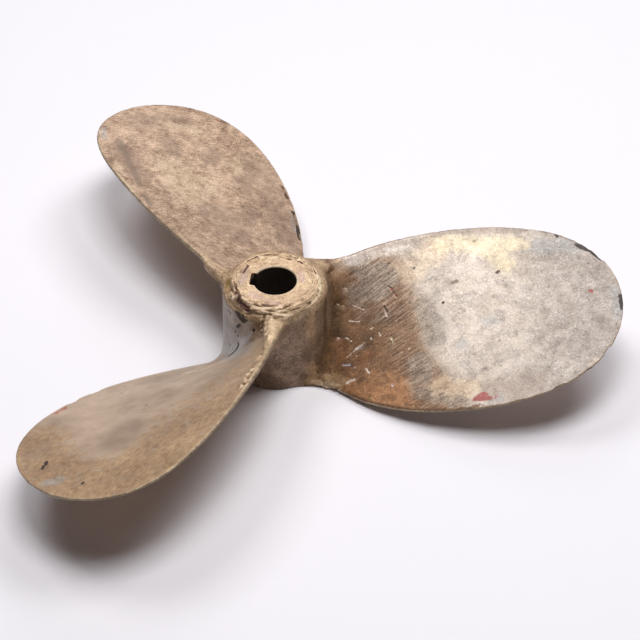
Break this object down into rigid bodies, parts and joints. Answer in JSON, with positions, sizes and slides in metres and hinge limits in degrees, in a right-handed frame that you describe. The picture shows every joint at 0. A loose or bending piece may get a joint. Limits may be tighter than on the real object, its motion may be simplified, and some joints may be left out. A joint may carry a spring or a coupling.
{
  "type": "boat propeller",
  "caption": "One-piece cast bronze right-hand boat propeller: three broad round-tipped blades on a short hub with a keyed tapered bore.",
  "frame": {"origin": "on the shaft axis at the casting's centre of mass, 32.9 mm above the hub's forward face", "axes": "+Z along the shaft axis towards the aft end, +X along the middle of blade one, opposite the keyway"},
  "size_m": [0.3317, 0.3659, 0.0651],
  "materials": {
    "cast_bronze": "weathered cast manganese bronze, satin, tan to dark brown, with a bare turned hub face"
  },
  "bodies": {
    "root": {"propeller_casting": "cast_bronze"}
  },
  "joints": []
}
